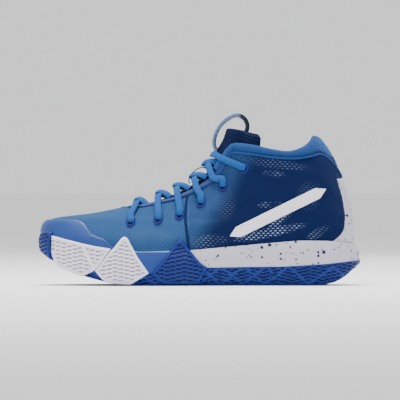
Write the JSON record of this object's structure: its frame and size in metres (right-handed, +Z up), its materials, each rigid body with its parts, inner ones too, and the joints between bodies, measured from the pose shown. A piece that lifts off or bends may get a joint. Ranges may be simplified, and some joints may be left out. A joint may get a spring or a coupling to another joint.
{
  "type": "basketball high top",
  "caption": "High-cut basketball shoe for the left foot: knit upper, laced gusset tongue with a pull loop, padded collar and a cupped rubber tread sole.",
  "frame": {"origin": "centre of the shoe's bounding box in plan, on the ground", "axes": "+Z up, toe towards -X, heel towards +X, outer side of the foot towards -Y"},
  "size_m": [0.305, 0.1132, 0.1613],
  "materials": {
    "knit": "engineered knit, matt",
    "quarter_knit": "dense knit, matt",
    "collar_knit": "padded stretch knit",
    "lining": "brushed lining",
    "tongue_knit": "ribbed knit",
    "board": "stitched lasting board",
    "foam": "moulded foam, white with blue flecks, blue at the forefoot",
    "cushion": "clear-skinned cushion",
    "shank": "moulded plate",
    "blue_rubber": "moulded tread rubber",
    "white_rubber": "moulded tread rubber",
    "counter": "moulded clip",
    "film": "fused film, satin",
    "lace": "braided lace",
    "webbing": "woven tape",
    "mark": "plain white overlay"
  },
  "bodies": {
    "shoe": {"vamp": "knit", "rear_quarters": "quarter_knit", "collar_pad": "collar_knit", "collar_lining": "lining", "tongue": "tongue_knit", "strobel_board": "board", "sockliner": "lining", "midsole": "foam", "heel_cushion": "cushion", "shank_plate": "shank", "forefoot_outsole": "blue_rubber", "heel_outsole": "blue_rubber", "toe_bumper": "blue_rubber", "heel_counter": "counter", "toe_cap": "film", "lace_top_pass": "lace", "front_panel_outer": "white_rubber", "white_peak_outer": "white_rubber", "blue_peak_outer": "blue_rubber", "eyestay_outer": "film", "side_mark_outer": "mark", "lace_pass_1_outer": "lace", "lace_pass_2_outer": "lace", "lace_pass_3_outer": "lace", "lace_pass_4_outer": "lace", "lace_pass_5_outer": "lace", "front_panel_inner": "white_rubber", "white_peak_inner": "white_rubber", "blue_peak_inner": "blue_rubber", "eyestay_inner": "film", "side_mark_inner": "mark", "lace_pass_1_inner": "lace", "lace_pass_2_inner": "lace", "lace_pass_3_inner": "lace", "lace_pass_4_inner": "lace", "lace_pass_5_inner": "lace"},
    "pull_loop": {"tongue_pull_loop": "webbing"}
  },
  "joints": [
    {"name": "pull_loop_sway", "type": "hinge", "parent": "shoe", "child": "pull_loop", "pos_m": [0.0166, 0, 0.127], "axis": [0.8406, 0, 0.5416], "range_deg": [-22, 22], "stiffness_Nm_per_rad": 0.004}
  ]
}
